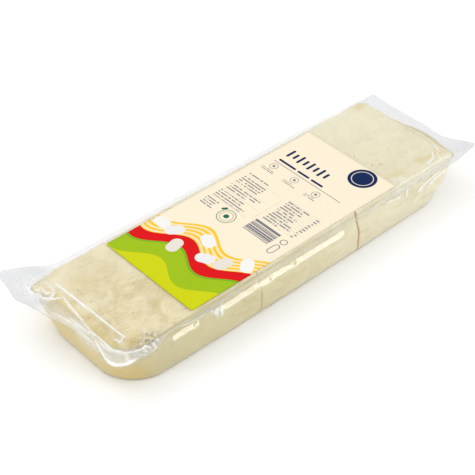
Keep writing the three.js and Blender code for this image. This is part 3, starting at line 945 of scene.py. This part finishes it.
def left_end_milk_and_highlight(x, y, z, share, lid, from_share, at_left):
    """The white of the left end, partly milky film and partly painted light. Its rim is rolled up
    and drawn in long pleats, the trimmed edge is the whitest there and on the near side next to it,
    as a painted highlight over milky film, a patch of painted light lies by the far ear, and
    streaks of painted reflection hang down the tray's wall. from_share is where the seal starts,
    as a share of the rim's width."""
    in_pleats = np.stack([9 * share, 0.05 * y, 0 * x], 1)
    rolled = between(share, 0.15 + from_share, 1.2, 0.3) * (0.34 + 0.14 * ripples(in_pleats, 2.0, 24))
    rolled *= 1 - 0.7 * smooth_step((share - 0.7) / 0.3) * smooth_step((y + 14) / 10)
    rolled *= 1 - 0.6 * smooth_step((-26 - y) / 9)
    trimmed = smooth_step((share - 0.76) / 0.1) * smooth_step((-10 - y) / 10)
    near_edge = smooth_step((share - 0.7) / 0.15) * between(x, -127, -92, 14) * smooth_step(-y / 20)
    # the trimmed edges are partly painted highlight, and the patch by the far ear is painted light
    on_lid = at_left * (rolled + 0.85 * trimmed) + 0.51 * near_edge + 0.25 * hump(x, y, (-166, 45), 6)
    # painted reflection: streaks of it hang down the end wall
    down_wall = np.stack([0.12 * y, z, 0 * x], 1)
    hanging = (0.22 + 0.3 * ripples(down_wall, 4.0, 26)) * smooth_step((z - 8) / 12)
    hanging *= smooth_step((12 - y) / 14)
    on_end_wall = (1 - lid) * (1 - smooth_step(share / 0.1)) * smooth_step((-152 - x) / 5)
    return lid * on_lid + on_end_wall * np.clip(hanging, 0, 1)


def film_bag():
    """Tray film and lid film as one closed skin. It follows the tofu's top, is flattened by the
    label, and has the creases, the puckers of its crumpled corners, the dents at the seams and the
    loose flutter of the ears. The masks of its material come last: milk, which is partly painted
    highlight, is in the creases, the puckers and the left end, and the tight film is the most
    uneven on top."""
    outline, side_count, end_count = rim_outline()
    rings, share, lid = film_rings(outline)
    vertices, quads, base = close_form(rings, side_count, end_count)
    extra = len(vertices) - len(share)
    share = np.concatenate([share, np.zeros(extra)])
    lid = np.concatenate([lid, np.ones(extra)])
    x, y, z = vertices.T.copy()
    plan = np.stack([x, y, 0 * x], 1)
    under_label = between(x, label_low.x / MM - LABEL_MARGIN, label_high.x / MM + LABEL_MARGIN, 4)
    under_label *= between(y, label_low.y / MM - LABEL_MARGIN, label_high.y / MM + LABEL_MARGIN, 4)
    in_rim = np.maximum(lid, smooth_step(share / 0.1))
    off_rim = 1 - smooth_step(share / 0.2)
    on_top = lid * smooth_step((z - 31) / 4) * off_rim
    on_near_wall = (1 - lid) * (1 - smooth_step(share / 0.1)) * smooth_step((-y - 40) / 4)
    loose = smooth_step(share / 0.5) * smooth_step((np.abs(x) - 140) / 20)

    # the creases' milk also paints their highlights white
    crease, creased = crease_relief(x, y, LID_CREASES)
    dimple, streaked = crease_relief(x, z, WALL_CREASES)
    flutter = 0.7 * ripples(plan, 30.0, 21) + 0.22 * ripples(plan, 11.0, 22)
    tight = pack_relief(x, y) * on_top * (1 - 0.85 * under_label)
    crumpled = (hump(x, y, (-138, -49), 9) + 0.5 * hump(x, y, (-165, 43), 8)) * in_rim
    puckers = ripples(plan, 3.0, 25)
    standing = 0.5 * puckers * crumpled + crease * in_rim * (1 - under_label)
    vertices[:, 2] += tight + standing + flutter * loose
    dent = seam_dent(x) * smooth_step((np.abs(y) - 44) / 4) * smooth_step((z - 4) / 4)
    vertices[:, 1] -= np.sign(y) * dent * (1 - smooth_step(share / 0.3))
    slack = 0.05 * ripples(vertices, 7.0, 23) * smooth_step((z - 18) / 8) * on_near_wall
    vertices[:, 1] -= dimple * on_near_wall + slack

    at_left = smooth_step((-150 - x) / 8) * smooth_step((34 - y) / 12)
    from_share = 0.5 * hump(x, y, (-168, 19), 14)
    # painted glints: white on the crests of the crumpled puckers
    glints = 0.6 * crumpled * smooth_step((puckers - 0.2) / 0.5)
    milk_and_highlight = 0.02 + glints + creased * in_rim + streaked * on_near_wall
    milk_and_highlight += left_end_milk_and_highlight(x, y, z, share, lid, from_share, at_left)
    masks = {
        "milk_and_highlight": milk_and_highlight,
        "haze": seal_haze(x, y, z, share, from_share, at_left),
        "uneven": off_rim * (1 - 0.75 * on_near_wall) * (1 - 0.5 * in_rim),
        "dull": lid * off_rim * smooth_step((-y - 41) / 4),
    }
    masks = {mask: np.clip(values, 0, 1) for mask, values in masks.items()}
    return add_piece("film_bag", vertices, quads, film_material(), base, masks)


bag = film_bag()
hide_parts("film_pack")


# Label: coated paper, printed and stuck on the film over the flat top. The print is generic:
# waves of colour with pale beans at its foot, and plain bars, lines and rings on cream above.
LABEL_GRID = 2.0
PAPER_SHARE = 0.85  # of the light that falls on white paper
INK_EDGE = 0.1
WAVE_LENGTH = 60.0
WAVE_HEIGHT = 7.0
WAVE_SLOPE = 0.12
STRIPED_LEVEL = 54.0  # that the striped wave reaches, behind the others
STRIPE_PITCH = 4.2
BEANS = 7
BEAN_PITCH = 12.4
BEAN_HALF_SIZE = (7.4, 4.8)
TITLE_BARS = 8
TITLE_PITCH = 5.3
TITLE_LEVEL = 166.5
WORDS_LEVEL = 155.4
WORDS = ((11.5, 27.0), (31.0, 41.0), (45.0, 55.0))
DISC_CENTRE = (68.5, 184.0)
BADGE_CENTRE = (33.5, 81.5)
MARK_CENTRES = ((14.0, 146.5), (36.2, 146.0), (58.8, 145.5))
SMALL_PRINT = [  # the low corner, the high one, the pitch of the rows and the seed
    ((8.0, 126.2), (32.0, 129.0), 2.7, 126.2),
    ((8.0, 113.0), (44.0, 123.8), 2.7, 113.0),
    ((8.0, 103.4), (40.0, 111.0), 2.7, 103.4),
    ((8.0, 91.4), (46.0, 101.0), 2.7, 91.4),
    ((7.0, 78.5), (22.0, 88.5), 2.5, 5.0),
    ((51.5, 99.0), (76.0, 127.0), 2.8, 8.0),
    ((79.5, 99.0), (83.5, 127.0), 2.8, 9.0),
]


def label_sheet(material):
    """A thin slab that lies on the film: two grids joined round their edges."""
    left, near, bottom = (v / MM for v in label_low)
    right, far, top = (v / MM for v in label_high)
    columns = int((right - left) / LABEL_GRID)
    rows = int((far - near) / LABEL_GRID)
    x = np.linspace(left, right, columns + 1)
    y = np.linspace(near, far, rows + 1)
    flat = np.stack(np.meshgrid(x, y, indexing="ij"), -1).reshape(-1, 2)
    sway = 0.1 * ripples(np.column_stack([flat, 0 * flat[:, 0]]), 60.0, 31) - 0.33
    upper = np.column_stack([flat, top + sway])
    lower = np.column_stack([flat, bottom + sway])
    vertices = np.concatenate([upper, lower])
    index = np.arange((columns + 1) * (rows + 1)).reshape(columns + 1, rows + 1)
    face = np.stack([index[:-1, :-1], index[1:, :-1], index[1:, 1:], index[:-1, 1:]], -1).reshape(-1, 4)
    ring = np.concatenate([index[:-1, 0], index[-1, :-1], index[:0:-1, -1], index[0, :0:-1]])
    after = np.roll(ring, -1)
    count = len(upper)
    edge = np.stack([ring + count, after + count, after, ring], -1)
    quads = np.concatenate([face, face[:, ::-1] + count, edge])
    return add_piece("label_print", vertices, quads, material)


def new_group(name, inputs, outputs):
    """An empty node group with the given inputs (name to kind and value) and number outputs."""
    group = bpy.data.node_groups.new(name, "ShaderNodeTree")
    for socket, (kind, value) in inputs.items():
        made = group.interface.new_socket(socket, in_out="INPUT", socket_type="NodeSocket" + kind)
        made.default_value = value
    for socket in outputs:
        group.interface.new_socket(socket, in_out="OUTPUT", socket_type="NodeSocketFloat")
    entry = group.nodes.new("NodeGroupInput")
    result = group.nodes.new("NodeGroupOutput")
    return group, entry.outputs, result.inputs


def vector_maths(tree, operation, *values):
    """The vector that comes out of one Vector Math node."""
    return add_node(tree, "ShaderNodeVectorMath", dict(enumerate(values)), operation=operation).outputs[0]


def printed_shape_group():
    """A printed shape with round corners. Its distance from a place is the length of what the
    place, folded into one quarter, lies beyond the corner's centre, less the corner's radius."""
    kinds = {
        "Place": ("Vector", (0, 0, 0)),
        "Centre": ("Vector", (0, 0, 0)),
        "Half Size": ("Vector", (1, 1, 0)),
        "Corner": ("Float", 0.2),
        "Turn": ("Float", 0.0),
        "Line": ("Float", 0.5),
    }
    tree, given, result = new_group("printed_shape", kinds, ("Inside", "Outline"))
    away = vector_maths(tree, "SUBTRACT", given["Place"], given["Centre"])
    inputs = {"Vector": away, "Angle": given["Turn"]}
    turned = add_node(tree, "ShaderNodeVectorRotate", inputs, rotation_type="Z_AXIS").outputs[0]
    folded = vector_maths(tree, "ABSOLUTE", turned)
    corner = add_node(tree, "ShaderNodeCombineXYZ", {0: given["Corner"], 1: given["Corner"]}).outputs[0]
    core = vector_maths(tree, "SUBTRACT", given["Half Size"], corner)
    beyond = vector_maths(tree, "MAXIMUM", vector_maths(tree, "SUBTRACT", folded, core), (0, 0, 0))
    length = add_node(tree, "ShaderNodeVectorMath", {0: beyond}, operation="LENGTH").outputs["Value"]
    distance = maths(tree, "SUBTRACT", length, given["Corner"])
    half_line = times(tree, given["Line"], 0.5)
    from_line = maths(tree, "ABSOLUTE", maths(tree, "ADD", distance, half_line))
    tree.links.new(ramp(tree, distance, -INK_EDGE, INK_EDGE, 1.0, 0.0), result["Inside"])
    beyond_line = maths(tree, "SUBTRACT", from_line, half_line)
    tree.links.new(ramp(tree, beyond_line, -INK_EDGE, INK_EDGE, 1.0, 0.0), result["Outline"])
    return tree


def printed_lines_group():
    """Lines of print too small to read: rows of a given pitch with a ragged end each, broken into
    letters and words by a random value for each cell of each row."""
    kinds = {
        "Place": ("Vector", (0, 0, 0)),
        "Low": ("Vector", (0, 0, 0)),
        "High": ("Vector", (10, 10, 0)),
        "Pitch": ("Float", 2.0),
        "Seed": ("Float", 0.0),
    }
    tree, given, result = new_group("printed_lines", kinds, ("Ink",))
    across, up = add_node(tree, "ShaderNodeSeparateXYZ", {0: given["Place"]}).outputs[:2]
    left, bottom = add_node(tree, "ShaderNodeSeparateXYZ", {0: given["Low"]}).outputs[:2]
    right, top = add_node(tree, "ShaderNodeSeparateXYZ", {0: given["High"]}).outputs[:2]
    rows_down = maths(tree, "DIVIDE", maths(tree, "SUBTRACT", top, up), given["Pitch"])
    row = maths(tree, "FLOOR", rows_down)
    from_middle = maths(tree, "SUBTRACT", maths(tree, "FRACT", rows_down), 0.5)
    in_row = ramp(tree, maths(tree, "ABSOLUTE", from_middle), 0.15, 0.28, 1.0, 0.0)
    key = maths(tree, "MULTIPLY_ADD", row, 7.31, given["Seed"])

    def chance(cell, offset):
        """A random value for a cell of this row."""
        spot = add_node(tree, "ShaderNodeCombineXYZ", {0: cell, 1: maths(tree, "ADD", key, offset)})
        inputs = {"Vector": spot.outputs[0]}
        return add_node(tree, "ShaderNodeTexWhiteNoise", inputs, noise_dimensions="2D").outputs["Value"]

    short = times(tree, times(tree, chance(0.0, 0.5), 0.4), maths(tree, "SUBTRACT", right, left))
    stop = maths(tree, "SUBTRACT", right, short)
    letter = maths(tree, "FLOOR", maths(tree, "DIVIDE", across, times(tree, given["Pitch"], 0.36)))
    is_ink = maths(tree, "GREATER_THAN", chance(letter, 0.0), 0.2)
    ink = times(tree, in_row, maths(tree, "MULTIPLY_ADD", is_ink, 0.8, 0.1))
    for place, low, high in ((across, left, stop), (up, bottom, top)):
        ink = times(tree, ink, maths(tree, "GREATER_THAN", place, low))
        ink = times(tree, ink, maths(tree, "LESS_THAN", place, high))
    tree.links.new(ink, result["Ink"])
    return tree


def printed(red, green, blue):
    """An ink's linear colour on this paper, which returns a part of the light, from sRGB values."""
    return tuple(PAPER_SHARE * channel for channel in colour(red, green, blue)[:3]) + (1.0,)


WAVE_COLOURS = [  # each wave reaches up to its level, and covers the ones before it
    (36.0, printed(227, 0, 11)),
    (25.0, printed(120, 184, 32)),
    (23.0, printed(162, 197, 17)),
    (7.0, printed(211, 216, 1)),
]
BEAN_COLOURS = [printed(247, 246, 242), printed(241, 240, 238), printed(236, 229, 218)]


def label_material():
    """Printed cream paper. The page stands on its narrow edge: across runs from its left side and
    up from its foot, in millimetres. Waves of colour fill the foot, with pale beans on them, and
    plain bars, rings, rules and unreadable lines stand above."""
    material, tree = new_material("printed_paper")
    place = add_node(tree, "ShaderNodeTexCoord").outputs["Object"]
    to_page = {
        "Vector": place,
        "Rotation": (0, 0, math.pi / 2),
        "Scale": (1 / MM, 1 / MM, 0),
        "Location": (label_high.y / MM, -label_low.x / MM, 0),
    }
    page = add_node(tree, "ShaderNodeMapping", to_page).outputs[0]
    across, up = add_node(tree, "ShaderNodeSeparateXYZ", {0: page}).outputs[:2]
    shape_group = printed_shape_group()
    lines_group = printed_lines_group()

    def shape(centre, half_size, corner=0.2, turn=0.0, line=0.0):
        """The mask of one printed shape, filled or, with a line width, in outline."""
        inputs = {"Place": page, "Centre": (*centre, 0), "Half Size": (*half_size, 0)}
        inputs |= {"Corner": corner, "Turn": -turn, "Line": line}
        made = add_node(tree, "ShaderNodeGroup", inputs, node_tree=shape_group)
        return made.outputs["Outline" if line else "Inside"]

    def ring(centre, radius, line=0.0):
        """A printed disc, or with a line width a ring."""
        return shape(centre, (radius, radius), radius, 0.0, line)

    def rule(start, stop, half_width=0.2):
        """A printed straight line between two places of the page, level or upright."""
        centre = [(a + b) / 2 for a, b in zip(start, stop)]
        half_size = [abs(b - a) / 2 + half_width for a, b in zip(start, stop)]
        return shape(centre, half_size, half_width)

    def small_print(low, high, pitch, seed):
        """A block of lines too small to read."""
        inputs = {"Place": page, "Low": (*low, 0), "High": (*high, 0), "Pitch": pitch, "Seed": seed}
        return add_node(tree, "ShaderNodeGroup", inputs, node_tree=lines_group).outputs["Ink"]

    def print_over(tone, masks, strength, ink):
        """The tone with an ink over it where any of the masks is, at that strength."""
        total = masks[0]
        for mask in masks[1:]:
            total = maths(tree, "MAXIMUM", total, mask)
        return blend_colour(tree, times(tree, total, strength), tone, ink)

    fibre = noise(tree, place, 900.0, 3.0)
    tone = blend_colour(tree, fibre, printed(253, 239, 212), printed(255, 243, 218))

    swing = maths(tree, "SINE", maths(tree, "MULTIPLY_ADD", across, 2 * math.pi / WAVE_LENGTH, 1.0))
    sloping = maths(tree, "MULTIPLY_ADD", across, -WAVE_SLOPE, up)
    level = maths(tree, "MULTIPLY_ADD", swing, WAVE_HEIGHT, sloping)
    from_stripe = maths(tree, "PINGPONG", level, STRIPE_PITCH / 2)
    stripe = ramp(tree, from_stripe, STRIPE_PITCH * 0.22, STRIPE_PITCH * 0.28)
    striped = blend_colour(tree, stripe, printed(255, 232, 185), printed(255, 203, 26))
    for edge, wave_colour in ((STRIPED_LEVEL, striped), *WAVE_COLOURS):
        below = ramp(tree, level, edge - INK_EDGE, edge + INK_EDGE, 1.0, 0.0)
        tone = blend_colour(tree, below, tone, wave_colour)
    for i in range(BEANS):
        bean_across = 8 + BEAN_PITCH * i
        bean_up = 40 + 10 * math.sin(2.4 * i + 0.4) + WAVE_SLOPE * BEAN_PITCH * i
        bean = shape((bean_across, bean_up), BEAN_HALF_SIZE, BEAN_HALF_SIZE[1], 0.9 * i)
        tone = blend_colour(tree, bean, tone, BEAN_COLOURS[i % len(BEAN_COLOURS)])

    navy = []
    for i in range(TITLE_BARS):
        navy.append(shape((11.6 + TITLE_PITCH * i, TITLE_LEVEL), (1.1, 4.9 - 1.5 * (i % 2)), 1.0))
    navy += [rule((start, WORDS_LEVEL), (stop, WORDS_LEVEL), 1.0) for start, stop in WORDS]
    navy += [ring(DISC_CENTRE, 11.0), rule((9, 151.8), (77, 151.8), 0.22)]
    tone = print_over(tone, navy, 1.0, printed(8, 36, 88))
    tone = print_over(tone, [ring(DISC_CENTRE, 8.4, 0.6)], 1.0, printed(250, 240, 220))

    marks = []
    for left, middle in MARK_CENTRES:
        marks += [ring((left, middle), 3.4, 0.45), ring((left, middle), 1.2)]
        marks.append(small_print((left - 6.5, 138.4), (left + 7.5, 141.8), 1.7, left))
    marks += [small_print(*block) for block in SMALL_PRINT]
    marks += [ring((81.5, 92.0), 2.9, 0.7), shape((81.5, 82.0), (2.6, 5.6), 2.6, 0.0, 0.7)]
    bar_cell = maths(tree, "FLOOR", maths(tree, "DIVIDE", up, 0.42))
    bar_chance = add_node(tree, "ShaderNodeTexWhiteNoise", {"W": bar_cell}, noise_dimensions="1D")
    is_bar = maths(tree, "GREATER_THAN", bar_chance.outputs["Value"], 0.42)
    marks.append(times(tree, is_bar, shape((62.5, 89), (12.5, 7))))
    tone = print_over(tone, marks, 0.8, printed(38, 62, 104))

    rules = [rule((8, height), (44, height), 0.12) for height in (125, 112, 102, 90.5)]
    rules += [rule((51.5, 127.4 - 2.8 * i), (84, 127.4 - 2.8 * i), 0.1) for i in range(11)]
    rules.append(rule((47.3, 95), (47.3, 125), 0.12))
    tone = print_over(tone, rules, 0.5, printed(120, 140, 130))

    badge = [ring(BADGE_CENTRE, radius, line) for radius, line in ((7.3, 0.55), (5.2, 0.35), (2.2, 0.0))]
    badge.append(shape((26.4, 86.6), (2.4, 1.1), 1.1, 0.9))
    tone = print_over(tone, badge, 1.0, printed(30, 110, 80))

    return finish_material(material, {"Base Color": tone, "Roughness": 0.5, "Specular IOR Level": 0.12})


sheet = label_sheet(label_material())
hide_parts("label")
